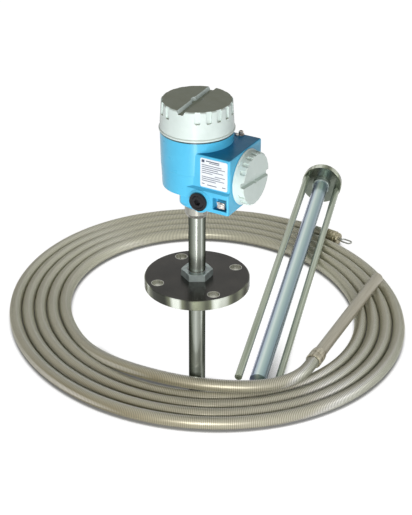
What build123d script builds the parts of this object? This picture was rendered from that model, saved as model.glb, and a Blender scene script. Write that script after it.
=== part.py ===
from build123d import *
from math import sin, cos, tan, atan, atan2, exp, radians, degrees, pi, hypot
import os

# Tank probe set: a converter head on a flanged stem, a coil of protective metal
# hose with its rigid end pipe, and a water-bottom electrode between guard rods.
# Millimetres.  The origin is the centre of the flange's underside, +Z is up the
# stem, +X is the axis of the terminal compartment, -Y is the name plate side.
# The hose and the electrode lie on a floor level with the lower end of the stem.

os.makedirs("parts", exist_ok=True)

# shared fits
fixed_fit = 0.05          # radial clearance of pieces that are fixed to each other
run_fit = 0.3             # clearance of pieces that move past each other
seat_gap = 0.3            # air under a cover, a plug head or a lying piece

# mounting flange and bushing
flange_od = 175.0
flange_thick = 18.0
bolt_circle = 140.0
bolt_hole_d = 19.0
bolt_count = 4
bolt_turn = 52.3
flange_edge = 1.2
bushing_thread_d = 42.0
bushing_hex_af = 46.0
bushing_hex_h = 12.4
bushing_bevel = 1.4
sleeve_wall = 2.4

# stem and neck collar
stem_od = 28.2
stem_wall = 3.4
stem_drop = 208.7         # flange underside to the lower end of the stem
stem_socket_r = 11.9
stem_socket_len = 26.0
collar_od = 40.4
collar_foot_od = 33.0
collar_cone_h = 6.5
collar_z = 130.7          # lower end of the collar
collar_h = 18.6
spigot_od = 32.0
spigot_h = 12.0
grub_d = 5.0
grub_angles = (-25, 95, 215)

# converter housing
neck_od = 56.6
neck_h = 16.6
neck_bevel_h = 6.8
neck_bevel_r = 8.2
shoulder_h = 16.7
body_foot_r = 55.6
body_mid_r = 57.2
body_top_r = 59.0
body_mid_z = 224.5
rim_z = 283.2             # top face of the housing
chamber_r = 47.3
chamber_floor_z = 215.0
wire_duct_r = 9.0
box_face_x = 88.0
box_half_y = 52.0
box_top_z = 265.6
box_foot_z = 173.2
box_corner_r = 3.0
entry_step = 3.6          # the foot stands out from the box
entry_block_y = box_half_y + entry_step
entry_block_x0 = 14.0
entry_block_top_z = 210.4
entry_x = 36.0
entry_z = 187.4
entry_boss_d = 39.0
entry_boss_t = 1.4
entry_boss_y = entry_block_y + entry_boss_t
entry_thread_d = 25.0
entry_end_y = 12.0         # inner end of each entry bore
entry_depth = entry_boss_y - entry_end_y
link_duct_r = 6.0
bay_z = 219.6
bay_r = 36.3
bay_depth = 36.0
pocket_x = 72.5
pocket_z = 189.4
pocket_w = 25.0
pocket_h = 20.5
pocket_depth = 13.0

# screw covers
cover_pitch = 2.0
cover_skirt_len = 10.0
cover_skirt_wall = 4.0
cover_top_r = 56.8
cover_rim_r = 60.6
cover_h = 48.5
cover_bead_h = 3.6
cover_crown = 9.5
cover_turn = 93.6
cover_slot_w = 13.5
cover_slot_foot_w = 9.0
cover_slot_depth = 6.0
cover_hub_d = 20.0
cover_notch_w = 8.6
cover_notch_h = 19.5
cover_notch_depth = 2.2
cover_notch_start = 27.0
cover_notch_step = 18.0
cover_notch_per_side = 8
lid_rim_r = 45.2
lid_top_r = 42.6
lid_h = 18.5
lid_bead_h = 2.4
lid_crown = 8.0
lid_turn = 84.0
lid_slot_w = 10.5
lid_slot_foot_w = 7.0
lid_slot_depth = 5.0
lid_hub_d = 14.0
lid_notch_w = 7.0
lid_notch_h = 9.5
lid_notch_depth = 2.0
seal_wire = 1.1
seal_groove_h = 2.5

# pieces inside the housing
module_r = 42.0
module_h = 40.0
module_boss_r = 30.0
module_boss_h = 7.0
module_screw_d = 6.0
module_screw_at = 35.5
terminal_w = 46.0
terminal_h = 24.0
terminal_t = 14.0
terminal_count = 4
terminal_screw_d = 6.4

# pieces outside the housing
plate_w = 48.0
plate_h = 49.0
plate_t = 0.8
plate_x = 60.2
plate_z = 237.0
plate_corner_r = 3.0
plug_head_d = 30.5
plug_head_t = 3.6
plug_thread_len = 14.0
plug_socket_af = 10.0
plug_socket_depth = 5.0
gasket_t = 0.9
lock_x = 54.0
lock_in = 6.0             # in from the box's rear edge
lock_y = box_half_y - lock_in
lock_foot_d = 11.0
lock_foot_t = 2.0
lock_head_d = 7.6
lock_head_h = 4.6
lock_socket_af = 3.6
lock_shank_d = 4.0
clamp_w = 13.0
clamp_h = 12.0
clamp_lip = 1.2
clamp_foot_t = 6.4        # saddle under the clamp plate
clamp_foot_w = 9.5
clamp_t = 9.2             # saddle and plate together
clamp_drop = 2.5          # below the middle of the pocket
ground_head_d = 9.0
ground_head_t = 4.0
ground_shank_d = 5.0

# hose
hose_d = 22.6
coil_mean_r = 383.5
stem_in_coil = 145.3      # mean turn to the stem, along Y
coil_x = -120.4
coil_y = coil_mean_r - stem_in_coil
coil_shift = 7.6
coil_shift_at = -16.7
coil_oval = 15.0
coil_oval_at = -40.6
coil_bulge = 6.0          # the turns lie a little further out on the right
coil_bulge_at = -12.0
coil_bulge_span = 42.0
coil_pitch = 23.75
coil_pitch_swing = 1.3
coil_pitch_squeeze = 0.45
view_turn = 29.6
coil_start_at = 79.6      # free end of the outermost turn
tail_at = 105.0           # the outermost turn joins the coil here
lead_at = 215.0           # the innermost turn leaves the coil here
ferrule_d = 28.0
ferrule_len = 31.0
ferrule_band_h = 1.2
ferrule_grip = 13.0       # depth of the hose in the ferrule
ferrule_at = 338.5        # where the ferrule's mouth is along the coil
ferrule_aside = 9.1
pipe_heading = 94.44
pipe_dip = 0.46
pipe_d = 22.4
pipe_wall = 3.15
pipe_len = 318.4
pipe_socket_len = 12.0
coupling_d = 27.0
coupling_len = 24.0
end_cap_d = 24.0
end_cap_len = 8.0
eye_wire_d = 3.2
eye_len = 26.0
eye_w = 15.0
eye_neck_d = 6.0
eye_neck_len = 5.0

# water-bottom electrode
electrode_at = 319.2      # where the near end is along the coil
electrode_aside = -12.0
electrode_rise = 21.6     # axis above the floor at the near end
electrode_heading = 107.2
electrode_gap = 0.6       # air between the lower guard rod and the coil
electrode_roll = 21.0
electrode_len = 717.5
electrode_d = 30.0
electrode_foot = -9.0     # near ends, along the axis from its named point
left_guard_foot = -22.0
right_guard_foot = 9.0
guard_d = 13.4
guard_offset = 34.0
end_plate_d = 84.0
end_plate_t = 15.0
hub_d = 36.0
hub_t = 11.0
guard_tenon_d = 8.0
guard_tenon_len = 13.0

floor_z = -stem_drop
collar_top_z = collar_z + collar_h
neck_top_z = collar_top_z + neck_bevel_h + neck_h
hose_r = hose_d / 2


def save(shape, name):
    shape = shape.clean() if hasattr(shape, "clean") else shape
    shape.label = name
    export_step(shape, "parts/" + name + ".step")
    print(name, "volume", round(shape.volume, 1))


def turned(points):
    """A solid of revolution about Z from points given as (radius, height)."""
    outline = Polyline([(r, 0, z) for r, z in points], close=True)
    return revolve(make_face(outline), Axis.Z, 360)


def disc(radius, height, z=0.0):
    low = (Align.CENTER, Align.CENTER, Align.MIN)
    return Pos(0, 0, z) * Cylinder(radius, height, align=low)


def hexagon(across_flats, height, z=0.0, turn=0.0):
    corner = across_flats / 2 / cos(radians(30))
    shape = extrude(RegularPolygon(corner, 6), height)
    return Pos(0, 0, z) * Rot(0, 0, turn) * shape


def block(x0, x1, y0, y1, z0, z1):
    centre = Pos((x0 + x1) / 2, (y0 + y1) / 2, (z0 + z1) / 2)
    return centre * Box(x1 - x0, y1 - y0, z1 - z0)


def along_y(x, y, z, side):
    """Local +Z points out of the housing on the given side of Y."""
    return Plane(origin=(x, y, z), x_dir=(1, 0, 0), z_dir=(0, side, 0)).location


# flange, bushing
bushing_r = bushing_thread_d / 2
sleeve_r = stem_od / 2 + fixed_fit + sleeve_wall

flange = disc(flange_od / 2, flange_thick)
flange = chamfer(flange.edges().filter_by(GeomType.CIRCLE), flange_edge)
flange -= disc(bushing_r + fixed_fit, flange_thick * 2, -flange_thick / 2)
for index in range(bolt_count):
    angle = radians(bolt_turn + index * 360 / bolt_count)
    at = Pos(bolt_circle / 2 * cos(angle), bolt_circle / 2 * sin(angle), 0)
    flange -= at * disc(bolt_hole_d / 2, flange_thick * 2, -flange_thick / 2)
save(flange, "flange")

hex_corner = bushing_hex_af / 2 / cos(radians(30))
hex_turn = view_turn
hex_top = flange_thick + bushing_hex_h
hex_head = hexagon(bushing_hex_af, bushing_hex_h, flange_thick, hex_turn)
hex_head &= turned([
    (0, flange_thick),
    (hex_corner + 1, flange_thick),
    (hex_corner + 1, hex_top - bushing_bevel),
    (hex_corner - 2 * bushing_bevel, hex_top),
    (0, hex_top),
])
bushing = disc(bushing_r, flange_thick) + hex_head
bushing -= disc(sleeve_r + fixed_fit, hex_top * 2, -flange_thick / 2)
save(bushing, "hex_bushing")

sleeve = disc(sleeve_r, hex_top - 1.0, 0.0)
sleeve -= disc(stem_od / 2 + fixed_fit, hex_top * 2, -flange_thick / 2)
save(sleeve, "bushing_sleeve")

# stem and collar
stem_top_z = collar_top_z
stem = disc(stem_od / 2, stem_top_z - floor_z, floor_z)
stem -= disc(stem_od / 2 - stem_wall, (stem_top_z - floor_z) * 2, floor_z * 2)
stem -= disc(stem_socket_r, stem_socket_len, floor_z)
stem = chamfer(stem.edges().filter_by(GeomType.CIRCLE).sort_by(Axis.Z)[:2], 0.8)
save(stem, "stem")

spigot_r = spigot_od / 2
collar = turned([
    (stem_od / 2 + fixed_fit, collar_z),
    (collar_foot_od / 2, collar_z),
    (collar_od / 2, collar_z + collar_cone_h),
    (collar_od / 2, collar_top_z),
    (spigot_r, collar_top_z),
    (spigot_r, collar_top_z + spigot_h),
    (wire_duct_r + 2, collar_top_z + spigot_h),
    (wire_duct_r + 2, stem_top_z + fixed_fit),
    (stem_od / 2 + fixed_fit, stem_top_z + fixed_fit),
])
grub_z = collar_z + collar_cone_h + grub_d / 2 + 0.6
grub_len = (collar_od - stem_od) / 2 - 0.8
grub_screws = []
for grub_angle in grub_angles:
    spoke = Rot(0, 0, grub_angle) * Pos(stem_od / 2 + fixed_fit, 0, grub_z) * Rot(0, 90, 0)
    collar -= spoke * disc(grub_d / 2 + fixed_fit, collar_od)
    grub = disc(grub_d / 2, grub_len)
    grub -= hexagon(grub_d / 2, grub_len / 2, grub_len / 2)
    grub_screws.append(spoke * grub)
save(collar, "neck_collar")
save(Compound(children=grub_screws), "collar_grub_screws")

# housing
neck_r = neck_od / 2
body = turned([
    (0, collar_top_z),
    (neck_r - neck_bevel_r, collar_top_z),
    (neck_r, collar_top_z + neck_bevel_h),
    (neck_r, neck_top_z),
    (body_foot_r, neck_top_z + shoulder_h),
    (body_mid_r, body_mid_z),
    (body_mid_r + 0.5, body_mid_z + 0.8),
    (body_top_r, rim_z),
    (0, rim_z),
])
terminal_box = block(0, box_face_x, -box_half_y, box_half_y, box_foot_z, box_top_z)
terminal_box = fillet(
    terminal_box.edges().filter_by(Axis.X) + terminal_box.faces().sort_by(Axis.X)[-1].edges(),
    box_corner_r,
)
entry_block = block(
    entry_block_x0, box_face_x, -entry_block_y, entry_block_y, box_foot_z, entry_block_top_z
)
entry_block = chamfer(
    entry_block.faces().sort_by(Axis.Z)[-1].edges().filter_by(Axis.X), entry_step
)
entry_block = fillet(
    entry_block.edges().filter_by(Axis.Z).sort_by(Axis.X)[-2:], box_corner_r
)
housing = body + terminal_box + entry_block
boss_bar = along_y(entry_x, 0, entry_z, 1) * Cylinder(entry_boss_d / 2, 2 * entry_boss_y)
housing += chamfer(boss_bar.edges().filter_by(GeomType.CIRCLE), 1.0)

housing -= disc(chamber_r, rim_z, chamber_floor_z)
housing -= disc(wire_duct_r, chamber_floor_z, collar_top_z + spigot_h - 1)
housing -= disc(spigot_r + fixed_fit, spigot_h + fixed_fit + 1, collar_top_z - 1)
bay_axis = Plane(origin=(box_face_x, 0, bay_z), x_dir=(0, 1, 0), z_dir=(1, 0, 0)).location
housing -= bay_axis * disc(bay_r, bay_depth + 10, -bay_depth)
pocket_floor = entry_block_y - pocket_depth
for side in (-1, 1):
    entry_out = along_y(entry_x, side * entry_boss_y, entry_z, side)
    housing -= entry_out * disc(entry_thread_d / 2 + run_fit, entry_depth + 5, -entry_depth)
    duct_y = side * (entry_boss_y - entry_depth + link_duct_r)
    duct = Plane(origin=(entry_x, duct_y, entry_z + link_duct_r), z_dir=(1, 0, 0)).location
    housing -= duct * disc(link_duct_r, box_face_x - bay_depth - entry_x + 6)
pocket = block(
    pocket_x - pocket_w / 2,
    pocket_x + pocket_w / 2,
    -entry_block_y - 5,
    -pocket_floor,
    pocket_z - pocket_h / 2,
    pocket_z + pocket_h / 2,
)
housing -= fillet(pocket.edges().filter_by(Axis.Y), 1.5)
ground_out = along_y(pocket_x, -pocket_floor, pocket_z - clamp_drop, -1)
housing -= ground_out * disc(ground_shank_d / 2 + run_fit, 12, -10)
lock_axis = Pos(lock_x, lock_y, box_top_z)
housing -= lock_axis * disc(lock_shank_d / 2 + run_fit, 12, -10)
module_spots = [
    Rot(0, 0, 30 + 120 * index) * Pos(module_screw_at, 0, chamber_floor_z) for index in range(3)
]
save(housing, "housing")

# screw covers


def screw_cover(top_r, rim_r, height, bead_h, crown, bore_r, slot, hub_d, notch, turn):
    """Cup cover, seat plane at z = 0, threaded skirt below it, slot and finger notches on top."""
    slot_w, slot_foot_w, slot_depth = slot
    notch_w, notch_h, notch_depth = notch
    skirt_r = bore_r - run_fit
    room_r = skirt_r - cover_skirt_wall
    groove_r = skirt_r - 2 * seal_wire
    cup = turned([
        (0, height),
        (top_r - 1.6, height),
        (top_r, height - 1.6),
        (rim_r - 1.4, bead_h + 0.8),
        (rim_r, bead_h - 0.6),
        (rim_r, 0.8),
        (rim_r - 0.8, 0),
        (skirt_r, 0),
        (skirt_r, -0.4),
        (groove_r, -0.4),
        (groove_r, -0.4 - seal_groove_h),
        (skirt_r, -0.4 - seal_groove_h),
        (skirt_r, -cover_skirt_len),
        (room_r, -cover_skirt_len),
        (room_r, height - crown - 3),
        (room_r - 3, height - crown),
        (0, height - crown),
    ])
    trough = Polyline(
        [
            (-slot_w / 2, 0, height + 0.01),
            (-slot_foot_w / 2, 0, height - slot_depth),
            (slot_foot_w / 2, 0, height - slot_depth),
            (slot_w / 2, 0, height + 0.01),
        ],
        close=True,
    )
    cup -= extrude(make_face(trough), rim_r + 2, both=True)
    cup -= turned([
        (0, height - slot_depth),
        (hub_d / 2 - 2, height - slot_depth),
        (hub_d / 2, height + 0.01),
        (0, height + 0.01),
    ])
    for side in (0, 180):
        for index in range(cover_notch_per_side):
            angle = 90 + side + cover_notch_start + index * cover_notch_step
            cutter = Pos(top_r + 3 - notch_depth + 2, 0, height - notch_h / 2 + 1)
            cutter *= Box(6 + 4, notch_w, notch_h + 2)
            cutter = fillet(cutter.edges().filter_by(Axis.X).sort_by(Axis.Z)[:2], notch_w / 4)
            cup -= Rot(0, 0, angle) * cutter
    return Rot(0, 0, turn - 90) * cup


def cover_seal(bore_r):
    """Ring in the groove of the cover's skirt."""
    skirt_r = bore_r - run_fit
    middle = skirt_r - seal_wire
    return Pos(0, 0, -0.4 - seal_groove_h / 2) * Torus(middle + 0.05, seal_wire - 0.05)


top_seat = Pos(0, 0, rim_z + seat_gap)
top_cover = screw_cover(
    cover_top_r,
    cover_rim_r,
    cover_h,
    cover_bead_h,
    cover_crown,
    chamber_r,
    (cover_slot_w, cover_slot_foot_w, cover_slot_depth),
    cover_hub_d,
    (cover_notch_w, cover_notch_h, cover_notch_depth),
    cover_turn,
)
save(top_seat * top_cover, "top_cover")
save(top_seat * cover_seal(chamber_r), "top_cover_seal")

lid_seat = Plane(
    origin=(box_face_x + seat_gap, 0, bay_z), x_dir=(0, 1, 0), z_dir=(1, 0, 0)
).location
terminal_cover = screw_cover(
    lid_top_r,
    lid_rim_r,
    lid_h,
    lid_bead_h,
    lid_crown,
    bay_r,
    (lid_slot_w, lid_slot_foot_w, lid_slot_depth),
    lid_hub_d,
    (lid_notch_w, lid_notch_h, lid_notch_depth),
    lid_turn - 90,
)
save(lid_seat * terminal_cover, "terminal_cover")
save(lid_seat * cover_seal(bay_r), "terminal_cover_seal")

# inside the housing
module = disc(module_r, module_h)
module = chamfer(module.faces().sort_by(Axis.Z)[-1].edges(), 2.0)
module += disc(module_boss_r, module_boss_h, module_h)
module -= disc(wire_duct_r, 2 * module_h, -module_h / 2)
module = Pos(0, 0, chamber_floor_z) * module
module_screws = []
for spot in module_spots:
    module -= spot * disc(module_screw_d / 2 + fixed_fit, 2 * module_h, -1)
    screw = disc(module_screw_d / 2, module_h)
    screw += disc(module_screw_d * 0.9, 3.4, module_h)
    screw -= Pos(0, 0, module_h + 3.4) * Box(module_screw_d * 2, 1.4, 2.4)
    module_screws.append(spot * screw)
save(module, "electronics_module")
save(Compound(children=module_screws), "module_screws")

bay_back = Plane(
    origin=(box_face_x - bay_depth, 0, bay_z), x_dir=(0, 1, 0), z_dir=(1, 0, 0)
).location
terminal_block = Pos(0, 0, terminal_t / 2) * Box(terminal_w, terminal_h, terminal_t)
terminal_screws = []
for index in range(terminal_count):
    across = (index - (terminal_count - 1) / 2) * terminal_w / terminal_count
    well = Pos(across, 0, terminal_t - 7)
    terminal_block -= well * disc(terminal_screw_d / 2 + 0.4, 10)
    wire_way = Pos(across, -terminal_h / 2, terminal_t / 2 - 1) * Box(5, 12, 6)
    terminal_block -= wire_way
    screw = disc(terminal_screw_d / 2, 4)
    screw -= Pos(0, 0, 4) * Box(terminal_screw_d * 2, 1.2, 2)
    terminal_screws.append(well * screw)
save(bay_back * terminal_block, "terminal_block")
save(bay_back * Compound(children=terminal_screws), "terminal_screws")

# outside the housing
plate = Pos(0, 0, plate_t / 2) * Box(plate_w, plate_h, plate_t)
plate = fillet(plate.edges().filter_by(Axis.Z), plate_corner_r)
save(along_y(plate_x, -box_half_y, plate_z, -1) * plate, "name_plate")


def entry_plug():
    head_z = gasket_t + 2 * seat_gap
    plug = turned([
        (0, head_z - plug_thread_len),
        (entry_thread_d / 2 - 1, head_z - plug_thread_len),
        (entry_thread_d / 2, head_z - plug_thread_len + 1),
        (entry_thread_d / 2, head_z),
        (plug_head_d / 2, head_z),
        (plug_head_d / 2, head_z + plug_head_t - 1),
        (plug_head_d / 2 - 1, head_z + plug_head_t),
        (plug_head_d / 2 - 4, head_z + plug_head_t),
        (plug_head_d / 2 - 5, head_z + plug_head_t - 1),
        (plug_socket_af, head_z + plug_head_t - 1),
        (plug_socket_af - 1, head_z + plug_head_t),
        (0, head_z + plug_head_t),
    ])
    return plug - hexagon(plug_socket_af, 10, head_z + plug_head_t - plug_socket_depth)


def entry_gasket():
    ring = disc(plug_head_d / 2 - 0.6, gasket_t, seat_gap / 6)
    return ring - disc(entry_thread_d / 2 + run_fit, 5, -1)


for side, name in ((-1, "front"), (1, "rear")):
    entry_face = along_y(entry_x, side * entry_boss_y, entry_z, side)
    save(entry_face * entry_plug(), name + "_entry_plug")
    save(entry_face * entry_gasket(), name + "_entry_gasket")

lock_clip = disc(lock_foot_d / 2, lock_foot_t)
lock_clip += Pos(0, -lock_foot_d / 2, lock_foot_t / 2) * Box(lock_foot_d * 0.6, 6, lock_foot_t)
lock_clip -= disc(lock_shank_d / 2 + run_fit, 10, -1)
save(lock_axis * Rot(0, 0, -40) * lock_clip, "cover_lock_clip")
lock_z = lock_foot_t + seat_gap
lock_screw = disc(lock_head_d / 2, lock_head_h, lock_z)
lock_screw = chamfer(lock_screw.faces().sort_by(Axis.Z)[-1].edges(), 0.6)
lock_screw += disc(lock_shank_d / 2, lock_z + 8, -8)
lock_screw -= hexagon(lock_socket_af, 5, lock_z + lock_head_h - 2.4)
save(lock_axis * lock_screw, "cover_lock_screw")

clamp = Pos(0, 0, clamp_foot_t / 2) * Box(clamp_foot_w, clamp_foot_w, clamp_foot_t)
clamp += Pos(0, 0, (clamp_foot_t + clamp_t) / 2) * Box(clamp_w, clamp_h, clamp_t - clamp_foot_t)
clamp += Pos(0, (clamp_h - clamp_lip) / 2, clamp_t + 1.2) * Box(clamp_w, clamp_lip, 2.4)
clamp -= disc(ground_shank_d / 2 + run_fit, clamp_t + 2, -1)
save(ground_out * clamp, "ground_clamp")
ground_z = clamp_t + seat_gap
ground_screw = disc(ground_head_d / 2, ground_head_t, ground_z)
ground_screw = fillet(ground_screw.faces().sort_by(Axis.Z)[-1].edges(), 1.2)
ground_screw -= Pos(0, 0, ground_z + ground_head_t) * Rot(0, 0, 25) * Box(ground_head_d * 2, 1.6, 3)
ground_screw += disc(ground_shank_d / 2, ground_z + 8, -8)
save(ground_out * ground_screw, "ground_screw")

# hose coil


def turn_radius(turns):
    """Centreline radius of the spiral after so many turns from its free end."""
    angle = coil_start_at + 360 * turns
    base = coil_mean_r + coil_shift * cos(radians(angle - coil_shift_at))
    base += coil_oval * cos(radians(2 * (angle - coil_oval_at)))
    away = (angle - coil_bulge_at + 180) % 360 - 180
    base += coil_bulge * exp(-(away / coil_bulge_span) ** 2)
    pitch = coil_pitch - coil_pitch_swing * sin(radians(angle - view_turn))
    pitch -= coil_pitch_squeeze * cos(radians(2 * (angle - view_turn)))
    return base - pitch * turns


def spiral_point(turns, aside=0.0):
    angle = radians(coil_start_at + 360 * turns)
    radius = turn_radius(turns) + aside
    return (coil_x + radius * cos(angle), coil_y + radius * sin(angle), floor_z)


def coil_place(angle, whole, aside, rise):
    """A point beside the given turn of the coil, at a height above the floor."""
    x, y, z = spiral_point(whole + (angle - coil_start_at) / 360, aside)
    return Vector(x, y, z + rise)


def spiral_loop(first, aside):
    steps = 30
    points = [spiral_point(first + index / steps, aside) for index in range(steps + 1)]
    return make_face([Spline(points), Line(points[-1], points[0])])


tail_turns = (tail_at - coil_start_at) / 360
lead_turns = 4 + (lead_at - coil_start_at) / 360
ring_face = spiral_loop(tail_turns, hose_r) - spiral_loop(lead_turns - 1, -hose_r)
hose_coil = extrude(ring_face, hose_d, dir=(0, 0, 1))
save(hose_coil, "hose_coil")


def hose_tube(points, name, diameter=hose_d):
    """A tube along straight runs joined by arcs as large as the runs allow."""
    runs = [(Vector(b) - Vector(a)) for a, b in zip(points, points[1:])]
    radii = []
    for before, after in zip(runs, runs[1:]):
        half_turn = radians(before.get_angle(after)) / 2
        radii.append(0.45 * min(before.length, after.length) / tan(half_turn))
    path = FilletPolyline(*points, radius=radii)
    tube = sweep(Plane(origin=points[0], z_dir=runs[0]) * Circle(diameter / 2), path=path)
    section = pi * diameter ** 2 / 4
    print(name, "radii", [round(radius) for radius in radii])
    print(name, "length", round(path.length, 1), "volume ratio", round(tube.volume / section / path.length, 4))
    save(tube, name)


# The leading end climbs onto the coil and runs into the ferrule of the rigid pipe.
top_rise = 1.5 * hose_d
ferrule_rise = hose_d + ferrule_d / 2 + 0.2
level_run = cos(radians(pipe_dip))
pipe_dir = Vector(
    cos(radians(pipe_heading)) * level_run, sin(radians(pipe_heading)) * level_run, -sin(radians(pipe_dip))
)
lead_end = coil_place(ferrule_at, 4, ferrule_aside, ferrule_rise)
lead_route = [
    (lead_at, 0.0, hose_r),
    (228.0, -0.5, hose_r + 0.3),
    (242.7, 2.4, hose_r + 3),
    (257.9, 6.2, hose_r + 11),
    (272.8, 9.8, top_rise - 3),
    (286.0, 13.0, top_rise),
    (295.8, 16.8, top_rise + 0.2),
    (303.7, 21.4, top_rise + 0.5),
    (310.1, 27.2, top_rise + 0.8),
    (315.0, 31.4, top_rise + 1.0),
    (319.9, 34.4, top_rise + 1.4),
    (324.0, 34.3, top_rise + 1.8),
    (328.2, 31.5, top_rise + 2.2),
    (332.2, 25.2, top_rise + 2.6),
]
lead_points = [coil_place(angle, 4, aside, rise) for angle, aside, rise in lead_route]
lead_points.append(lead_end - pipe_dir * ferrule_grip)
lead_points.append(lead_end + pipe_dir * ferrule_grip)
hose_tube(lead_points, "hose_lead")

coupling_rise = coupling_d / 2 + 0.1
tail_route = [
    (tail_at, 0.0, hose_r),
    (99.89, 0.4, hose_r),
    (93.4, 1.57, hose_r + 0.1),
    (86.32, 3.37, coupling_rise),
    (78.71, 5.06, coupling_rise),
]
tail_points = [coil_place(angle, 0, aside, rise) for angle, aside, rise in tail_route]
hose_tube(tail_points, "hose_tail")

# rigid pipe and ferrule on the leading end
lead_axis = Plane(origin=lead_end, z_dir=pipe_dir).location
pipe_r = pipe_d / 2
pipe_foot = ferrule_grip + 3
ferrule = turned([
    (0, 0),
    (ferrule_d / 2 - 1, 0),
    (ferrule_d / 2, 1),
    (ferrule_d / 2, ferrule_len * 0.3),
    (ferrule_d / 2 - ferrule_band_h, ferrule_len * 0.34),
    (ferrule_d / 2 - ferrule_band_h, ferrule_len * 0.46),
    (ferrule_d / 2, ferrule_len * 0.5),
    (ferrule_d / 2, ferrule_len * 0.76),
    (pipe_r + 1.6, ferrule_len),
    (0, ferrule_len),
])
ferrule -= disc(pipe_r + fixed_fit, ferrule_len, pipe_foot)
ferrule -= disc(hose_r + fixed_fit, ferrule_grip + fixed_fit)
save(lead_axis * ferrule, "hose_ferrule")
pipe = disc(pipe_r, pipe_len, pipe_foot)
pipe_mouth = pipe_foot + pipe_len
pipe -= disc(pipe_r - pipe_wall, pipe_socket_len, pipe_mouth - pipe_socket_len)
save(lead_axis * pipe, "end_pipe")

# coupling, cap and eye on the free end
tail_end = tail_points[-1]
tail_dir = (tail_end - tail_points[-2]).normalized()
tail_axis = Plane(origin=tail_end, x_dir=(0, 0, 1), z_dir=tail_dir).location
coupling = disc(coupling_d / 2, coupling_len)
coupling = chamfer(coupling.edges().filter_by(GeomType.CIRCLE), 1.0)
for index in range(3):
    groove_z = coupling_len * (0.25 + 0.25 * index)
    coupling -= disc(coupling_d, 1.4, groove_z - 0.7) - disc(coupling_d / 2 - 0.8, 1.4, groove_z - 0.7)
save(tail_axis * coupling, "end_coupling")
cap_end = coupling_len + end_cap_len
end_cap = disc(end_cap_d / 2, end_cap_len, coupling_len)
end_cap = fillet(end_cap.faces().sort_by(Axis.Z)[-1].edges(), 3.0)
end_cap -= disc(eye_neck_d / 2 + run_fit, end_cap_len, coupling_len + 2)
save(tail_axis * end_cap, "end_cap")

loop_r = (eye_w - eye_wire_d) / 2
loop_span = eye_len - eye_w
loop_foot = cap_end + eye_neck_len + eye_wire_d / 2 - 1.0
wire = Plane.XZ * SlotCenterToCenter(loop_span, 2 * loop_r + eye_wire_d, rotation=90)
wire -= Plane.XZ * SlotCenterToCenter(loop_span, 2 * loop_r - eye_wire_d, rotation=90)
eye = extrude(wire, eye_wire_d / 2, both=True)
eye = fillet(eye.edges(), eye_wire_d / 2 - 0.2)
eye = Rot(0, 0, 90) * Pos(0, 0, loop_foot + eye_len / 2 - eye_wire_d / 2) * eye
neck = disc(eye_neck_d / 2, end_cap_len - 2 - run_fit + eye_neck_len, coupling_len + 2 + run_fit)
save(tail_axis * (eye + neck), "weight_eye")

# water-bottom electrode
heading = radians(electrode_heading)
roll = radians(electrode_roll)
near_end = coil_place(electrode_at, 4, electrode_aside, electrode_rise)


def reach_to_coil(x, y):
    """Level distance from a point inside the coil, along the heading, to its inner edge."""
    reach = 0
    while True:
        dx = x + reach * cos(heading) - coil_x
        dy = y + reach * sin(heading) - coil_y
        past_lead = (degrees(atan2(dy, dx)) - lead_at) % 360
        if hypot(dx, dy) > turn_radius(lead_turns - 1 + past_lead / 360) - hose_r:
            return reach
        reach += 1


# The whole set rises just enough for the lower rod to pass over the coil.
guard_side = guard_offset * cos(roll)
guard_drop = guard_offset * sin(roll) + guard_d / 2
reach = reach_to_coil(near_end.X + guard_side * sin(heading), near_end.Y - guard_side * cos(heading))
tilt = atan((hose_d + electrode_gap - electrode_rise + guard_drop) / reach)
print("electrode tilt", round(degrees(tilt), 2), "reach", reach)
axis_dir = Vector(cos(heading) * cos(tilt), sin(heading) * cos(tilt), sin(tilt))
level = Vector(-sin(heading), cos(heading), 0)
upward = axis_dir.cross(level)
guard_dir = level * cos(roll) + upward * sin(roll)
electrode_axis = Plane(
    origin=near_end, x_dir=guard_dir, z_dir=axis_dir
).location
guard_r = guard_d / 2
tenon_r = guard_tenon_d / 2
guards = (("left", 1, left_guard_foot), ("right", -1, right_guard_foot))
for name, side, foot in guards:
    rod = disc(guard_r, electrode_len - foot, foot)
    rod = chamfer(rod.faces().sort_by(Axis.Z)[0].edges(), 0.8)
    rod += disc(tenon_r, guard_tenon_len, electrode_len)
    save(electrode_axis * Pos(side * guard_offset, 0, 0) * rod, "guard_rod_" + name)

electrode = disc(electrode_d / 2, electrode_len - hub_t - electrode_foot, electrode_foot)
electrode = chamfer(electrode.faces().sort_by(Axis.Z)[0].edges(), 1.0)
save(electrode_axis * electrode, "electrode")

hub = disc(hub_d / 2, hub_t, electrode_len - hub_t)
hub = chamfer(hub.faces().sort_by(Axis.Z)[0].edges(), 1.5)
save(electrode_axis * hub, "electrode_hub")

end_plate = disc(end_plate_d / 2, end_plate_t, electrode_len)
end_plate = chamfer(end_plate.edges().filter_by(GeomType.CIRCLE), 1.2)
for side in (-1, 1):
    tenon_hole = disc(tenon_r + fixed_fit, guard_tenon_len + fixed_fit, electrode_len)
    end_plate -= Pos(side * guard_offset, 0, 0) * tenon_hole
save(electrode_axis * end_plate, "end_plate")
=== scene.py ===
from math import sin, cos, radians, pi, exp

import bpy
from mathutils import Matrix, Vector


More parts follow.
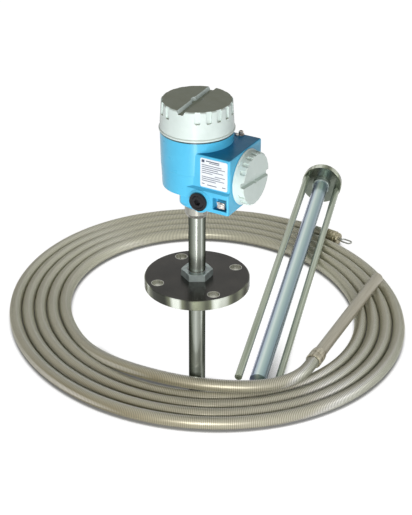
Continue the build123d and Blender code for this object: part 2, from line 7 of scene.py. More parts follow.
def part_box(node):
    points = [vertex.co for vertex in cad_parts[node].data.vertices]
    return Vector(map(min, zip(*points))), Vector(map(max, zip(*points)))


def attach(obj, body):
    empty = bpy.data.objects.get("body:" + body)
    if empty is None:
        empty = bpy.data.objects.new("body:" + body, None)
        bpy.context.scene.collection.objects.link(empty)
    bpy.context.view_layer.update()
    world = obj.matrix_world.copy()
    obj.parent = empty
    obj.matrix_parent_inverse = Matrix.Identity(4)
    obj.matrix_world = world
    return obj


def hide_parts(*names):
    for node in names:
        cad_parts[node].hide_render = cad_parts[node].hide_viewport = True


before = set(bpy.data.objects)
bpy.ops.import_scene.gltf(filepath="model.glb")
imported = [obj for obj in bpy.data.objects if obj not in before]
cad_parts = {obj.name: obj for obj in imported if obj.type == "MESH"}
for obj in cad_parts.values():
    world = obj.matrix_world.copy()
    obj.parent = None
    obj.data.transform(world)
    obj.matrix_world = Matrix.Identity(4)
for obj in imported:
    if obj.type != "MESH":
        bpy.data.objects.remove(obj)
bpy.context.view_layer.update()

# Places of the camera, hose and plate print are in mm, times MM for metres.
# Values of materials, floor and lamps are in metres.
MM = 0.001
FLOOR = -208.7

# Camera: a long lens in front of the name plate corner, looking down at the coil.
VIEW_TURN = radians(29.6)
PITCH = radians(28.499)
ROLL = radians(0.186)
FOCAL_PIXELS = 1478.4
IMAGE_HEIGHT = 515
SENSOR = 36.0
CAMERA_PLACE = (14.76, -2141.6, 1213.8)
FAR_CLIP = 50.0


def turned_to_part(x, y, z):
    """From the camera's level frame (right, away, up) to the part's frame."""
    c, s = cos(VIEW_TURN), sin(VIEW_TURN)
    return Vector((x * c - y * s, x * s + y * c, z))


def add_camera():
    ahead = turned_to_part(0, cos(PITCH), -sin(PITCH))
    level_right = turned_to_part(1, 0, 0)
    level_up = turned_to_part(0, sin(PITCH), cos(PITCH))
    right = level_right * cos(ROLL) + level_up * sin(ROLL)
    up = level_up * cos(ROLL) - level_right * sin(ROLL)
    data = bpy.data.cameras.new("photo_camera")
    data.sensor_width = SENSOR
    data.lens = FOCAL_PIXELS / IMAGE_HEIGHT * SENSOR
    data.clip_end = FAR_CLIP
    camera = bpy.data.objects.new("photo_camera", data)
    turn = Matrix((right, up, -ahead)).transposed().to_4x4()
    place = turned_to_part(*CAMERA_PLACE) * MM
    camera.matrix_world = Matrix.Translation(place) @ turn
    bpy.context.scene.collection.objects.link(camera)
    bpy.context.scene.camera = camera


add_camera()
bpy.context.scene.view_settings.view_transform = "Standard"

# Hose: the same route as in the model, from the ferrule to the free end.
# Its coil is slightly oval, off its middle and bulged at one place.
HOSE_D = 22.6
HOSE_R = HOSE_D / 2
COIL_X, COIL_Y = -120.4, 238.2
COIL_START, TAIL_AT, LEAD_AT = 79.6, 105.0, 215.0
COIL_STEPS = 120
MEAN_R = 383.5
OFFSET, OFFSET_AT = 7.6, -16.7
OVAL, OVAL_AT = 15.0, -40.6
BULGE, BULGE_AT, BULGE_SPAN = 6.0, -12.0, 42.0
TURN_PITCH, PITCH_SWAY, PITCH_OVAL, SWAY_AT = 23.75, 1.3, 0.45, 29.6
FERRULE_REACH = 13.0
FERRULE_GAP = 0.2
FERRULE_RISE = 14.0


def turn_radius(turns):
    """Radius of the spiral after so many turns in from its outer end."""
    angle = COIL_START + 360 * turns
    base = MEAN_R + OFFSET * cos(radians(angle - OFFSET_AT))
    base += OVAL * cos(radians(2 * (angle - OVAL_AT)))
    from_bulge = (angle - BULGE_AT + 180) % 360 - 180
    base += BULGE * exp(-(from_bulge / BULGE_SPAN) ** 2)
    sway = radians(angle - SWAY_AT)
    pitch = TURN_PITCH - PITCH_SWAY * sin(sway) - PITCH_OVAL * cos(2 * sway)
    return base - pitch * turns


def coil_place(angle, whole, aside, rise):
    """A point beside the given turn of the coil, at a height above the floor."""
    radius = turn_radius(whole + (angle - COIL_START) / 360) + aside
    x = COIL_X + radius * cos(radians(angle))
    y = COIL_Y + radius * sin(radians(angle))
    return Vector((x, y, FLOOR + rise))


tail_turns = (TAIL_AT - COIL_START) / 360
lead_turns = 4 + (LEAD_AT - COIL_START) / 360
top_rise = 1.5 * HOSE_D
pipe_heading, pipe_dip = radians(94.44), radians(0.46)
pipe_dir = Vector((
    cos(pipe_heading) * cos(pipe_dip), sin(pipe_heading) * cos(pipe_dip), -sin(pipe_dip)
))
ferrule_face = coil_place(338.5, 4, 9.1, HOSE_D + FERRULE_RISE + FERRULE_GAP)
route = [ferrule_face + pipe_dir * FERRULE_REACH, ferrule_face - pipe_dir * FERRULE_REACH]
# The lead, as (angle, aside, rise): over the inner turn and down to the floor.
for angle, aside, rise in (
    (332.2, 25.2, top_rise + 2.6),
    (328.2, 31.5, top_rise + 2.2),
    (324.0, 34.3, top_rise + 1.8),
    (319.9, 34.4, top_rise + 1.4),
    (315.0, 31.4, top_rise + 1.0),
    (310.1, 27.2, top_rise + 0.8),
    (303.7, 21.4, top_rise + 0.5),
    (295.8, 16.8, top_rise + 0.2),
    (286.0, 13.0, top_rise),
    (272.8, 9.8, top_rise - 3),
    (257.9, 6.2, HOSE_R + 11),
    (242.7, 2.4, HOSE_R + 3),
    (228.0, -0.5, HOSE_R + 0.3),
):
    route.append(coil_place(angle, 4, aside, rise))
for index in range(COIL_STEPS + 1):
    turns = lead_turns + (tail_turns - lead_turns) * index / COIL_STEPS
    route.append(coil_place(COIL_START + 360 * turns, 0, 0.0, HOSE_R))
for angle, aside, rise in (
    (99.89, 0.4, HOSE_R),
    (93.4, 1.57, HOSE_R + 0.1),
    (86.32, 3.37, 13.6),
    (78.71, 5.06, 13.6),
):
    route.append(coil_place(angle, 0, aside, rise))


def hose_line():
    """Points of the smooth line through the route."""
    curve = bpy.data.curves.new("hose_route", "CURVE")
    curve.dimensions = "3D"
    spline = curve.splines.new("NURBS")
    spline.points.add(len(route) - 1)
    for point, place in zip(spline.points, route):
        point.co = (*(place * MM), 1.0)
    spline.order_u = 3
    spline.use_endpoint_u = True
    spline.resolution_u = 12
    holder = bpy.data.objects.new("hose_route", curve)
    bpy.context.scene.collection.objects.link(holder)
    bpy.context.view_layer.update()
    mesh = bpy.data.meshes.new_from_object(holder)
    points = [vertex.co.copy() for vertex in mesh.vertices]
    bpy.data.meshes.remove(mesh)
    bpy.data.objects.remove(holder)
    bpy.data.curves.remove(curve)
    return points


def evenly(points, step):
    """The same line with points evenly along it, and its length."""
    lengths = [0.0]
    for a, b in zip(points, points[1:]):
        lengths.append(lengths[-1] + (b - a).length)
    count = int(lengths[-1] / step)
    out = []
    place = 0
    for index in range(count + 1):
        at = lengths[-1] * index / count
        while place < len(points) - 2 and lengths[place + 1] < at:
            place += 1
        span = lengths[place + 1] - lengths[place]
        out.append(points[place].lerp(points[place + 1], (at - lengths[place]) / span))
    return out, lengths[-1]


# Painted light on the hose: the parts of each pass that face this way have the value 1 in the
# "side" attribute, which the hose material turns into painted highlights and shade.
PAINTED_LIGHT_FROM = turned_to_part(0.75, 0.45, -0.1).normalized()
RIDGE_STEP = 1.55
VALLEY = 0.75
HOSE_SIDES = 14


def ridged_tube(name, line, radius, valley, sides):
    """A tube with a ring of vertices on each crest and in each valley."""
    vertices, faces, crest, painted_light = [], [], [], []
    last = len(line) - 1
    for index, point in enumerate(line):
        along = (line[min(index + 1, last)] - line[max(index - 1, 0)]).normalized()
        aside = along.cross(Vector((0, 0, 1))).normalized()
        above = aside.cross(along)
        on_crest = index % 2 == 0
        size = radius if on_crest else radius - valley
        for side in range(sides):
            angle = 2 * pi * side / sides
            outward = aside * cos(angle) + above * sin(angle)
            vertices.append(point + outward * size)
            crest.append(1.0 if on_crest else 0.0)
            # Painted light: how far each vertex faces the painted light direction.
            painted_light.append(0.5 + 0.5 * outward.dot(PAINTED_LIGHT_FROM))
    for index in range(last):
        for side in range(sides):
            a = index * sides + side
            b = index * sides + (side + 1) % sides
            faces.append((a, b, b + sides, a + sides))
    faces.append(tuple(range(sides - 1, -1, -1)))
    faces.append(tuple(last * sides + side for side in range(sides)))
    mesh = bpy.data.meshes.new(name)
    mesh.from_pydata(vertices, [], faces)
    mesh.polygons.foreach_set("use_smooth", [True] * len(mesh.polygons))
    for key, values in (("crest", crest), ("side", painted_light)):
        layer = mesh.attributes.new(key, "FLOAT", "POINT")
        layer.data.foreach_set("value", values)
    mesh.update()
    piece = bpy.data.objects.new(name, mesh)
    bpy.context.scene.collection.objects.link(piece)
    return piece


smooth_line = hose_line()
ridge_line, hose_length = evenly(smooth_line, RIDGE_STEP * MM)
hose = ridged_tube("hose_ridged", ridge_line, HOSE_R * MM, VALLEY * MM, HOSE_SIDES)

# Materials.


class Look:
    """A node material: named inputs in, shader sockets out."""

    def __init__(self, name, metallic=0.0, roughness=0.5):
        self.material = bpy.data.materials.new(name)
        self.material.use_nodes = True
        self.tree = self.material.node_tree
        self.shader = self.tree.nodes["Principled BSDF"]
        self.shader.inputs["Metallic"].default_value = metallic
        self.shader.inputs["Roughness"].default_value = roughness
        self.place = self.node("ShaderNodeTexCoord").outputs["Object"]

    def node(self, kind, **settings):
        node = self.tree.nodes.new(kind)
        for key, value in settings.items():
            setattr(node, key, value)
        return node

    def link(self, source, target):
        self.tree.links.new(source, target)

    def stretched(self, scale, turn=(0, 0, 0), centre=(0, 0, 0)):
        """Coordinates in a piece's own turned frame, then scaled."""
        mapping = self.node("ShaderNodeMapping", vector_type="TEXTURE")
        mapping.inputs["Location"].default_value = centre
        mapping.inputs["Rotation"].default_value = turn
        mapping.inputs["Scale"].default_value = [1 / size for size in scale]
        self.link(self.place, mapping.inputs["Vector"])
        return mapping.outputs["Vector"]

    def noise(self, scale, detail=4.0, rough=0.55, vector=None):
        noise = self.node("ShaderNodeTexNoise")
        noise.inputs["Scale"].default_value = scale
        noise.inputs["Detail"].default_value = detail
        noise.inputs["Roughness"].default_value = rough
        self.link(vector or self.place, noise.inputs["Vector"])
        return noise.outputs["Fac"]

    def ramp(self, value, *stops):
        ramp = self.node("ShaderNodeValToRGB")
        bar = ramp.color_ramp
        bar.elements[0].position = stops[0][0]
        bar.elements[0].color = (*stops[0][1], 1)
        bar.elements[1].position = stops[-1][0]
        bar.elements[1].color = (*stops[-1][1], 1)
        for position, colour in stops[1:-1]:
            bar.elements.new(position).color = (*colour, 1)
        self.link(value, ramp.inputs["Fac"])
        return ramp.outputs["Color"]

    def spread(self, value, low, high, start=0.0, end=1.0):
        """The value taken from start..end to low..high and held there."""
        spread = self.node("ShaderNodeMapRange")
        spread.inputs["From Min"].default_value = start
        spread.inputs["From Max"].default_value = end
        spread.inputs["To Min"].default_value = low
        spread.inputs["To Max"].default_value = high
        self.link(value, spread.inputs["Value"])
        return spread.outputs["Result"]

    def mixed(self, factor, first, second):
        """The first colour, going over to the second as the factor nears 1."""
        mix = self.node("ShaderNodeMix", data_type="RGBA")
        for socket, value in ((0, factor), (6, first), (7, second)):
            if isinstance(value, (int, float)):
                mix.inputs[socket].default_value = value
            elif isinstance(value, tuple):
                mix.inputs[socket].default_value = (*value, 1)
            else:
                self.link(value, mix.inputs[socket])
        return mix.outputs[2]

    def math(self, operation, first, second=0.0):
        math = self.node("ShaderNodeMath", operation=operation)
        for socket, value in zip(math.inputs, (first, second)):
            if isinstance(value, (int, float)):
                socket.default_value = value
            else:
                self.link(value, socket)
        return math.outputs[0]

    def distance(self, first, second):
        """Distance from the axis, out of two coordinates."""
        squares = [self.math("MULTIPLY", value, value) for value in (first, second)]
        return self.math("SQRT", self.math("ADD", *squares))

    def facing_up(self):
        """1 on faces that look up, 0 on walls."""
        normal = self.node("ShaderNodeNewGeometry").outputs["Normal"]
        return self.spread(self.axes(normal)[2], 0.0, 1.0, 0.6, 0.9)

    def band(self, value, low, high):
        """1 where the value is between the two ends."""
        above = self.math("GREATER_THAN", value, low)
        below = self.math("LESS_THAN", value, high)
        return self.math("MULTIPLY", above, below)

    def axes(self, vector=None):
        split = self.node("ShaderNodeSeparateXYZ")
        self.link(vector or self.place, split.inputs[0])
        return split.outputs

    def colour(self, value):
        self.link(value, self.shader.inputs["Base Color"])

    def roughness(self, value):
        self.link(value, self.shader.inputs["Roughness"])

    def bump(self, height, strength, distance):
        bump = self.node("ShaderNodeBump")
        bump.inputs["Strength"].default_value = strength
        bump.inputs["Distance"].default_value = distance
        self.link(height, bump.inputs["Height"])
        self.link(bump.outputs["Normal"], self.shader.inputs["Normal"])


def powder_coat(name, colour, shade, painted_top_shade, coat, roughness, grain, shadow_line=None):
    """Sprayed paint: orange peel, mottling, painted shade and less gloss on what looks up, and an
    optional painted shadow line.
    """
    look = Look(name, 0.0, roughness)
    look.shader.inputs["Coat Roughness"].default_value = 0.12
    mottle = look.noise(22, 5)
    paint = look.ramp(mottle, (0.25, shade), (0.55, colour), (0.8, colour))
    # Painted shade: faces that look up are painted with the darker top colour and given less coat
    # and gloss.
    top_shade_mask = look.math("MULTIPLY", look.facing_up(), look.spread(look.noise(45, 5), 0.82, 1.0))
    paint = look.mixed(top_shade_mask, paint, painted_top_shade)
    look.link(look.spread(top_shade_mask, coat, 0.0), look.shader.inputs["Coat Weight"])
    look.link(look.spread(top_shade_mask, 0.3, 0.08), look.shader.inputs["Specular IOR Level"])
    # Painted shadow: a dark line on the housing just below the overhanging cover rim.
    if shadow_line:
        height = look.axes()[2]
        paint = look.mixed(look.band(height, shadow_line[0], shadow_line[1]), paint, (0.03, 0.07, 0.08))
    look.colour(paint)
    look.roughness(look.spread(look.noise(90, 3), roughness - 0.06, roughness + 0.1))
    look.bump(look.noise(grain, 2, 0.4), 0.12, 0.0004)
    return look.material


def steel(name, colour, dark, roughness, marks, turn=(0, 0, 0), metallic=0.8):
    """Steel with marks drawn out along or round the piece."""
    look = Look(name, metallic, roughness)
    lines = look.noise(1.0, 3, 0.6, look.stretched(marks, turn))
    clouds = look.noise(35, 4)
    tone = look.ramp(lines, (0.34, dark), (0.66, colour))
    look.colour(look.mixed(look.spread(clouds, 0.0, 0.25), tone, dark))
    look.roughness(look.spread(lines, roughness + 0.08, roughness - 0.05))
    look.bump(lines, 0.06, 0.0001)
    return look.material


# Sizes on the pieces that their materials follow, and the first hole's angle.
FLANGE_RING = 0.0011
FLANGE_FACE_R = 0.0862
FIRST_HOLE_AT = 52.3
BOLT_CIRCLE_R = 0.070
HOLE_EDGE_R = 0.0104
PLATE_RING = 0.0012
PLATE_FACE_R = 0.0408
SLEEVE_HALF = 0.015
# Heights of the painted shadow line under the top cover's rim.
COVER_SHADOW_LINE = (0.2808, 0.2834)


def flange_steel():
    """Turned flange: fine rings on the faces, painted reflection stripes on the rim and painted
    highlights round the hole edges.
    """
    look = Look("flange_turned_steel", 0.85, 0.2)
    x, y, _ = look.axes()
    radius = look.distance(x, y)
    rings = look.math("SINE", look.math("MULTIPLY", radius, 2 * pi / FLANGE_RING))
    clouds = look.noise(28, 5)
    face = look.ramp(clouds, (0.3, (0.014, 0.013, 0.010)), (0.7, (0.034, 0.031, 0.025)))
    # Painted reflection: soft dark and bright stripes round the rim.
    rim_reflection_noise = look.noise(1.0, 1, 0.5, look.stretched((24, 24, 3)))
    rim = look.ramp(
        rim_reflection_noise,
        (0.40, (0.045, 0.047, 0.038)),
        (0.5, (0.20, 0.215, 0.15)),
        (0.60, (0.78, 0.82, 0.74)),
    )
    tone = look.mixed(look.math("GREATER_THAN", radius, FLANGE_FACE_R), face, rim)
    # Painted highlight: a pale ring round each bolt hole's edge.
    for index in range(4):
        turn = radians(FIRST_HOLE_AT + 90 * index)
        aside = look.math("SUBTRACT", x, BOLT_CIRCLE_R * cos(turn))
        beyond = look.math("SUBTRACT", y, BOLT_CIRCLE_R * sin(turn))
        hole_edge_highlight = look.math("LESS_THAN", look.distance(aside, beyond), HOLE_EDGE_R)
        tone = look.mixed(hole_edge_highlight, tone, (0.50, 0.50, 0.44))
    look.colour(tone)
    look.roughness(look.spread(clouds, 0.16, 0.3))
    look.bump(look.math("ADD", rings, look.math("MULTIPLY", clouds, 2.0)), 0.12, 0.00012)
    return look.material


def hose_metal():
    """Corrugated metal hose: painted highlight and shade stripes round each pass, valleys painted
    darker than the crests, a painted pale sheen at the coil's back, and wear patches.
    """
    look = Look("hose_crimped_metal", 0.3, 0.3)
    crest = look.node("ShaderNodeAttribute", attribute_name="crest").outputs["Fac"]
    side = look.node("ShaderNodeAttribute", attribute_name="side").outputs["Fac"]
    patches = look.noise(16, 5)
    fine = look.noise(420, 3)
    # Painted light and shade round each pass, from the side attribute, with a white painted
    # highlight near its middle and dark painted shade at both ends.
    painted_light = look.ramp(
        side,
        (0.03, (0.82, 0.78, 0.68)),
        (0.09, (0.26, 0.22, 0.13)),
        (0.26, (0.47, 0.44, 0.33)),
        (0.44, (0.60, 0.58, 0.47)),
        (0.51, (1.0, 1.0, 0.97)),
        (0.56, (0.92, 0.94, 0.84)),
        (0.63, (0.74, 0.77, 0.64)),
        (0.82, (0.66, 0.71, 0.58)),
        (0.97, (0.14, 0.15, 0.10)),
    )
    # Painted sheen: toward the coil's back, away from the view, the hose is painted paler.
    depth = look.axes(look.stretched((1, 1, 1), (0, 0, VIEW_TURN)))[1]
    back = look.spread(depth, 0.0, 0.62, -0.02, 0.2)
    painted_light = look.mixed(back, painted_light, (1.0, 0.98, 0.76))
    # Random wear patches over the painted light.
    painted_light_and_wear = look.mixed(look.spread(patches, 0.0, 0.25), painted_light, (0.80, 0.76, 0.58))
    # Painted shade: the valleys between the crests are painted much darker.
    low = look.mixed(0.88, painted_light_and_wear, (0.09, 0.08, 0.045))
    look.colour(look.mixed(look.spread(crest, 0.1, 1.0), low, painted_light_and_wear))
    look.roughness(look.spread(fine, 0.28, 0.46))
    look.bump(fine, 0.25, 0.0003)
    return look.material


PROBE_TURN = (radians(2.67), 0, radians(17.2))


def sleeve_gloss(centre):
    """Glossy bluish sleeve of the electrode, with painted reflections across it: a pale greenish
    painted highlight along its crown and darker bluish sides.
    """
    look = Look("electrode_glossy_sleeve", 0.55, 0.16)
    across = look.axes(look.stretched((1, 1, 1), PROBE_TURN, centre))[0]
    side = look.spread(across, 0.0, 1.0, -SLEEVE_HALF, SLEEVE_HALF)
    # Painted reflections across the sleeve's width, from bluish edges to a pale highlight.
    painted_reflection_colours = look.ramp(
        side,
        (0.0, (0.22, 0.26, 0.46)),
        (0.24, (0.34, 0.40, 0.60)),
        (0.38, (0.66, 0.82, 0.84)),
        (0.46, (0.86, 0.98, 0.92)),
        (0.60, (0.50, 0.66, 0.62)),
        (0.84, (0.22, 0.34, 0.38)),
        (1.0, (0.30, 0.37, 0.46)),
    )
    smear = look.noise(1.0, 3, 0.5, look.stretched((300, 5, 300), PROBE_TURN))
    look.colour(look.mixed(look.spread(smear, 0.0, 0.3), painted_reflection_colours, (0.40, 0.48, 0.46)))
    look.roughness(look.spread(smear, 0.12, 0.26))
    look.bump(smear, 0.06, 0.0001)
    return look.material


def stem_gloss():
    """Drawn stem: painted dark sides, a broad and a narrow painted highlight line, marks along it.
    """
    look = Look("stem_drawn_steel", 0.7, 0.18)
    look.shader.inputs["Specular Tint"].default_value = (0.25, 0.27, 0.23, 1)
    across = look.axes(look.stretched((1, 1, 1), (0, 0, VIEW_TURN)))[0]
    low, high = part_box("stem")
    side = look.spread(across, 0.0, 1.0, low.x, high.x)
    # Painted light: dark sides and two highlight lines, laid across the stem toward the view.
    tone = look.ramp(
        side,
        (0.0, (0.04, 0.045, 0.035)),
        (0.10, (0.07, 0.08, 0.06)),
        (0.22, (0.20, 0.22, 0.18)),
        (0.42, (0.50, 0.53, 0.48)),
        (0.56, (0.30, 0.32, 0.28)),
        (0.70, (0.26, 0.28, 0.24)),
        (0.77, (0.66, 0.70, 0.64)),
        (0.83, (0.22, 0.24, 0.20)),
        (0.92, (0.07, 0.08, 0.06)),
        (1.0, (0.04, 0.045, 0.035)),
    )
    lines = look.noise(1.0, 3, 0.6, look.stretched((330, 330, 2)))
    look.colour(look.mixed(look.spread(lines, 0.0, 0.35), tone, (0.10, 0.11, 0.09)))
    look.roughness(look.spread(lines, 0.24, 0.14))
    look.bump(lines, 0.05, 0.0001)
    return look.material


def plate_steel(centre):
    """Polished end plate: rings round its middle, a dark lapped face and painted reflection
    stripes on the rim.
    """
    look = Look("end_plate_polished", 1.0, 0.16)
    x, _, z = look.axes(look.stretched((1, 1, 1), PROBE_TURN, centre))
    radius = look.distance(x, z)
    rings = look.math("SINE", look.math("MULTIPLY", radius, 2 * pi / PLATE_RING))
    clouds = look.noise(30, 4)
    face = look.ramp(clouds, (0.3, (0.12, 0.14, 0.115)), (0.7, (0.26, 0.29, 0.24)))
    # Painted reflection: dark and bright stripes on the plate's rim.
    painted_plate_stripes = look.noise(1.0, 2, 0.5, look.stretched((55, 8, 55), PROBE_TURN))
    rim = look.ramp(
        painted_plate_stripes,
        (0.34, (0.05, 0.055, 0.04)),
        (0.5, (0.20, 0.22, 0.15)),
        (0.64, (0.56, 0.59, 0.50)),
    )
    look.colour(look.mixed(look.math("GREATER_THAN", radius, PLATE_FACE_R), face, rim))
    look.roughness(look.spread(clouds, 0.1, 0.22))
    look.bump(rings, 0.08, 0.0001)
    return look.material


def moulded(name, colour, shade, roughness, grain, gloss=0.5):
    """Plastic, rubber or print: faint clouds of two tones and a fine grain."""
    look = Look(name, 0.0, roughness)
    look.shader.inputs["Specular IOR Level"].default_value = gloss
    cloud = look.noise(60, 4)
    look.colour(look.ramp(cloud, (0.3, shade), (0.7, colour)))
    look.roughness(look.spread(cloud, roughness - 0.08, roughness + 0.1))
    look.bump(look.noise(grain, 2), 0.15, 0.0002)
    return look.material


PIPE_TURN = (0, 0, radians(4.44))
EVEN_MARKS = (300, 300, 300)

# Each coat's top colour below is painted shade for faces that look up.
blue_paint = powder_coat(
    "housing_blue_coat",
    colour=(0.085, 0.50, 0.77),
    shade=(0.070, 0.46, 0.73),
    painted_top_shade=(0.002, 0.15, 0.31),
    coat=0.16,
    roughness=0.28,
    grain=900,
    shadow_line=COVER_SHADOW_LINE,
)
grey_paint = powder_coat(
    "cover_grey_coat",
    colour=(0.70, 0.79, 0.755),
    shade=(0.63, 0.72, 0.685),
    painted_top_shade=(0.30, 0.32, 0.22),
    coat=0.12,
    roughness=0.36,
    grain=800,
)
side_grey_paint = powder_coat(
    "side_cover_grey_coat",
    colour=(0.66, 0.76, 0.72),
    shade=(0.58, 0.68, 0.64),
    painted_top_shade=(0.60, 0.68, 0.62),
    coat=0.2,
    roughness=0.36,
    grain=800,
)
collar_steel = steel(
    "collar_steel", (0.46, 0.45, 0.40), (0.24, 0.235, 0.205), 0.26, (180, 180, 9), metallic=0.5
)
hex_steel = steel(
    "hex_steel", (0.40, 0.46, 0.44), (0.22, 0.26, 0.25), 0.22, (70, 70, 30), metallic=0.6
)
pipe_steel = steel(
    "end_pipe_steel",
    (0.52, 0.49, 0.39),
    (0.44, 0.41, 0.32),
    0.34,
    (320, 12, 320),
    PIPE_TURN,
    metallic=0.4,
)
ferrule_steel = steel(
    "ferrule_steel",
    (0.62, 0.58, 0.45),
    (0.30, 0.27, 0.19),
    0.3,
    (260, 40, 260),
    PIPE_TURN,
    metallic=0.5,
)
coupling_steel = steel(
    "coupling_steel", (0.62, 0.57, 0.40), (0.22, 0.19, 0.11), 0.3, EVEN_MARKS, metallic=0.5
)
wire_steel = steel("eye_wire_steel", (0.60, 0.62, 0.58), (0.22, 0.22, 0.20), 0.25, (500, 500, 500))
guard_steel = steel(
    "guard_rod_steel",
    (0.68, 0.75, 0.60),
    (0.30, 0.35, 0.25),
    0.18,
    (330, 3, 330),
    PROBE_TURN,
    metallic=0.4,
)
small_steel = steel("small_screw_steel", (0.62, 0.58, 0.52), (0.25, 0.22, 0.19), 0.28, EVEN_MARKS)
bright_steel = steel(
    "ground_clamp_steel", (0.86, 0.85, 0.82), (0.36, 0.33, 0.30), 0.2, (200, 200, 200)
)
brass = steel("plated_screws", (0.75, 0.60, 0.32), (0.45, 0.33, 0.14), 0.3, EVEN_MARKS)
black_plastic = moulded(
    "plug_black_gloss", (0.012, 0.012, 0.014), (0.006, 0.006, 0.007), 0.12, 500, gloss=0.3
)
rubber = moulded("seal_rubber", (0.03, 0.03, 0.03), (0.015, 0.015, 0.015), 0.6, 900)
plate_white = moulded("name_plate_white", (0.82, 0.85, 0.88), (0.74, 0.78, 0.82), 0.35, 700)
module_plastic = moulded("module_moulding", (0.17, 0.18, 0.19), (0.11, 0.12, 0.13), 0.5, 700)
terminal_plastic = moulded("terminal_moulding", (0.10, 0.11, 0.12), (0.06, 0.07, 0.08), 0.45, 700)
sleeve_plastic = moulded("bushing_sleeve_lining", (0.84, 0.84, 0.82), (0.76, 0.76, 0.74), 0.4, 700)
print_ink = moulded("plate_print", (0.06, 0.08, 0.13), (0.04, 0.05, 0.09), 0.5, 900)
print_grey = moulded("plate_print_pale", (0.14, 0.17, 0.22), (0.10, 0.12, 0.17), 0.5, 900)


def finish(material, *names):
    """One material on each of the named pieces."""
    for name in names:
        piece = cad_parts[name]
        piece.data.materials.clear()
        piece.data.materials.append(material)


def middle(name):
    low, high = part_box(name)
    return (low + high) / 2


finish(blue_paint, "housing")
finish(grey_paint, "top_cover")
finish(side_grey_paint, "terminal_cover")
finish(rubber, "top_cover_seal", "terminal_cover_seal", "front_entry_gasket", "rear_entry_gasket")
finish(black_plastic, "front_entry_plug", "rear_entry_plug")
finish(stem_gloss(), "stem")
finish(collar_steel, "neck_collar")
finish(hex_steel, "hex_bushing")
finish(small_steel, "collar_grub_screws", "cover_lock_screw", "cover_lock_clip")
finish(bright_steel, "ground_screw", "ground_clamp")
finish(flange_steel(), "flange")
finish(pipe_steel, "end_pipe")
finish(ferrule_steel, "hose_ferrule")
finish(coupling_steel, "end_coupling", "end_cap")
finish(wire_steel, "weight_eye")
finish(guard_steel, "guard_rod_left", "guard_rod_right")
finish(plate_steel(middle("end_plate")), "end_plate")
finish(sleeve_gloss(middle("electrode")), "electrode")
finish(hex_steel, "electrode_hub")
finish(plate_white, "name_plate")
finish(module_plastic, "electronics_module")
finish(terminal_plastic, "terminal_block")
finish(brass, "module_screws", "terminal_screws")
finish(sleeve_plastic, "bushing_sleeve")

hose.data.materials.append(hose_metal())
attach(hose, "probe")
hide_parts("hose_coil", "hose_lead", "hose_tail")

# Name plate: plain fields and rules, no words.
PRINT_BACK = 52.79
PRINT_THICK = 0.08
BAR_ROUNDING = 0.4
RULE_TOP, RULE_STEP, RULE_HEIGHT = 250.4, 3.3, 1.25


def printed_bars(name, bars, material):
    """Thin raised bars with rounded ends, given as (x, z, width, height) in mm."""
    bpy.ops.object.select_all(action="DESELECT")
    parts = []
    for x, z, width, height in bars:
        bpy.ops.mesh.primitive_plane_add(size=1, rotation=(radians(90), 0, 0))
        bar = bpy.context.object
        bpy.ops.object.transform_apply(location=True, rotation=True, scale=True)
        bpy.ops.object.mode_set(mode="EDIT")
        bpy.ops.mesh.select_all(action="SELECT")
        bpy.ops.transform.resize(value=(width * MM, 1, height * MM))
        bpy.ops.mesh.bevel(offset=BAR_ROUNDING * MM, segments=2, affect="VERTICES")
        bpy.ops.mesh.select_all(action="SELECT")
        bpy.ops.transform.translate(value=(x * MM, -PRINT_BACK * MM, z * MM))
        bpy.ops.mesh.extrude_region_move(
            TRANSFORM_OT_translate={"value": (0, -PRINT_THICK * MM, 0)}
        )
        bpy.ops.mesh.select_all(action="SELECT")
        bpy.ops.mesh.normals_make_consistent(inside=False)
        bpy.ops.object.mode_set(mode="OBJECT")
        parts.append(bar)
    for bar in parts:
        bar.select_set(True)
    bpy.context.view_layer.objects.active = parts[0]
    bpy.ops.object.join()
    piece = bpy.context.object
    piece.name = name
    piece.data.materials.append(material)
    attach(piece, "probe")
    bpy.ops.object.select_all(action="DESELECT")


dark_bars = [(41.2, 256.8, 5.0, 4.6), (58, 257.6, 24, 1.7), (61, 254.9, 18, 1.2)]
dark_bars += [(41.5, 218.5, 5.0, 1.3), (57, 217.4, 17, 1.3), (78, 218.4, 6.5, 1.2)]
pale_bars = []
for row, (left, right) in enumerate((
    (39, 74), (39, 80), (39, 68), (39, 77), (39, 58), (62, 80), (39, 72), (39, 79), (39, 64)
)):
    pale_bars.append(((left + right) / 2, RULE_TOP - row * RULE_STEP, right - left, RULE_HEIGHT))
printed_bars("plate_fields", dark_bars, print_ink)
printed_bars("plate_rules", pale_bars, print_grey)

# Floor, world and lamps.
FLOOR_SIZE = 14
FLOOR_DROP = 0.4
WHITE = (1, 1, 1, 1)
WORLD_LIGHT = 0.22
# Painted shadow: where the floor shows below the raised hose lead, it is painted darker by
# position, as the lead's shadow.
LEAD_SHADE_TURN = radians(273)
LEAD_SHADE_STARTS = (0.224, 0.240)
LEAD_SHADE_ENDS = (0.29, 0.33)
LEAD_SHADE_COSINES = (0.848, 0.914)


def add_node(tree, kind, operation=None, **values):
    """A node with its named inputs set; an underscore stands for a space."""
    node = tree.nodes.new(kind)
    if operation:
        node.operation = operation
    for key, value in values.items():
        node.inputs[key.replace("_", " ")].default_value = value
    return node


def joined(tree, operation, first, second):
    """A sum, product or maximum of two sockets."""
    node = add_node(tree, "ShaderNodeMath", operation)
    tree.links.new(first, node.inputs[0])
    tree.links.new(second, node.inputs[1])
    return node.outputs[0]


def ranged(tree, value, span, ends):
    """The value taken from one range to another and held there."""
    node = add_node(
        tree, "ShaderNodeMapRange",
        From_Min=span[0], From_Max=span[1], To_Min=ends[0], To_Max=ends[1],
    )
    tree.links.new(value, node.inputs["Value"])
    return node.outputs["Result"]


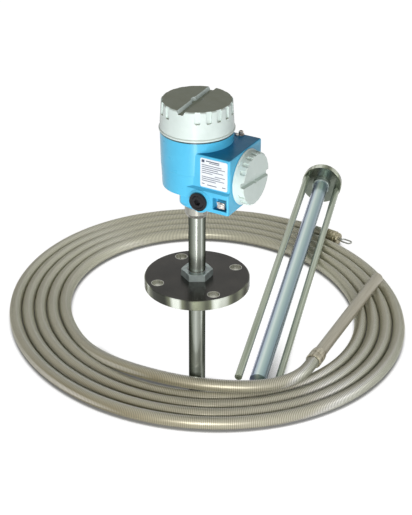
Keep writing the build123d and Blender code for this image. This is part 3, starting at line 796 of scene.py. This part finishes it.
def rays_that_see_white(tree):
    path = tree.nodes.new("ShaderNodeLightPath").outputs
    seen = joined(tree, "MAXIMUM", path["Is Camera Ray"], path["Is Glossy Ray"])
    return joined(tree, "MAXIMUM", seen, path["Is Transmission Ray"])


def painted_shadow_under_lead(tree):
    """Painted shadow: 1 on the open floor, near 0 on the strip behind the raised hose lead."""
    place = tree.nodes.new("ShaderNodeTexCoord").outputs["Object"]

    def vector(operation, first, second=None):
        node = add_node(tree, "ShaderNodeVectorMath", operation)
        tree.links.new(first, node.inputs[0])
        if second is not None:
            node.inputs[1].default_value = second
        return node.outputs

    out = vector("SUBTRACT", place, (COIL_X * MM, COIL_Y * MM, 0))["Vector"]
    radius = vector("LENGTH", out)["Value"]
    outward = vector("NORMALIZE", out)["Vector"]
    shade_heading = (cos(LEAD_SHADE_TURN), sin(LEAD_SHADE_TURN), 0)
    facing = vector("DOT_PRODUCT", outward, shade_heading)["Value"]
    dark = ranged(tree, radius, LEAD_SHADE_STARTS, (0.0, 0.92))
    dark = joined(tree, "MULTIPLY", dark, ranged(tree, radius, LEAD_SHADE_ENDS, (1.0, 0.0)))
    dark = joined(tree, "MULTIPLY", dark, ranged(tree, facing, LEAD_SHADE_COSINES, (0.0, 1.0)))
    return ranged(tree, dark, (0.0, 1.0), (1.0, 0.0))


def white_floor():
    """Matt to the light, white to the camera, darker close to what stands on it, and a painted
    shadow behind the raised hose lead.
    """
    bpy.ops.object.select_all(action="DESELECT")
    bpy.ops.mesh.primitive_plane_add(size=FLOOR_SIZE, location=(0, 0, (FLOOR - FLOOR_DROP) * MM))
    floor = bpy.context.object
    floor.name = "studio_floor"
    material = bpy.data.materials.new("studio_floor")
    material.use_nodes = True
    tree = material.node_tree
    tree.nodes.clear()
    out = tree.nodes.new("ShaderNodeOutputMaterial")
    matt = add_node(tree, "ShaderNodeBsdfDiffuse", Color=(0.8, 0.8, 0.8, 1))
    dim = add_node(tree, "ShaderNodeBsdfDiffuse", Color=(0.3, 0.3, 0.3, 1))
    near = add_node(tree, "ShaderNodeAmbientOcclusion", Distance=0.022)
    near.samples = 16
    shade = ranged(tree, near.outputs["AO"], (0.40, 0.64), (0.06, 0.95))
    # The painted shadow behind the raised lead dims the floor's glow.
    shade_with_painted_shadow = joined(tree, "MULTIPLY", shade, painted_shadow_under_lead(tree))
    glow = add_node(tree, "ShaderNodeEmission")
    both = add_node(tree, "ShaderNodeAddShader")
    pick = add_node(tree, "ShaderNodeMixShader")
    tree.links.new(shade_with_painted_shadow, glow.inputs["Strength"])
    tree.links.new(dim.outputs[0], both.inputs[0])
    tree.links.new(glow.outputs[0], both.inputs[1])
    tree.links.new(rays_that_see_white(tree), pick.inputs[0])
    tree.links.new(matt.outputs[0], pick.inputs[1])
    tree.links.new(both.outputs[0], pick.inputs[2])
    tree.links.new(pick.outputs[0], out.inputs[0])
    floor.data.materials.append(material)


def white_world():
    """White where it is seen or mirrored, a dim light for the rest."""
    world = bpy.data.worlds.new("white_studio")
    bpy.context.scene.world = world
    world.use_nodes = True
    tree = world.node_tree
    back = tree.nodes["Background"]
    back.inputs["Color"].default_value = WHITE
    strength = ranged(tree, rays_that_see_white(tree), (0.0, 1.0), (WORLD_LIGHT, 1.0))
    tree.links.new(strength, back.inputs["Strength"])


def soft_lamp(name, place, aim, width, height, watts):
    """A soft rectangular lamp, placed and aimed in the camera's level frame."""
    data = bpy.data.lights.new(name, "AREA")
    data.shape = "RECTANGLE"
    data.size = width
    data.size_y = height
    data.energy = watts
    lamp = bpy.data.objects.new(name, data)
    lamp.location = turned_to_part(*place)
    ahead = turned_to_part(*aim) - lamp.location
    lamp.rotation_euler = ahead.to_track_quat("-Z", "Y").to_euler()
    bpy.context.scene.collection.objects.link(lamp)


white_floor()
white_world()
soft_lamp("front_softbox", (-0.25, -2.6, 0.45), (0, 0.1, 0.05), 1.3, 0.9, 43)
soft_lamp("low_strip", (-0.06, -0.55, 0.0), (0, 0, 0.2), 0.09, 0.38, 1.2)
soft_lamp("side_softbox", (2.4, -0.4, 0.9), (0, 0.2, 0), 1.2, 1.2, 8)
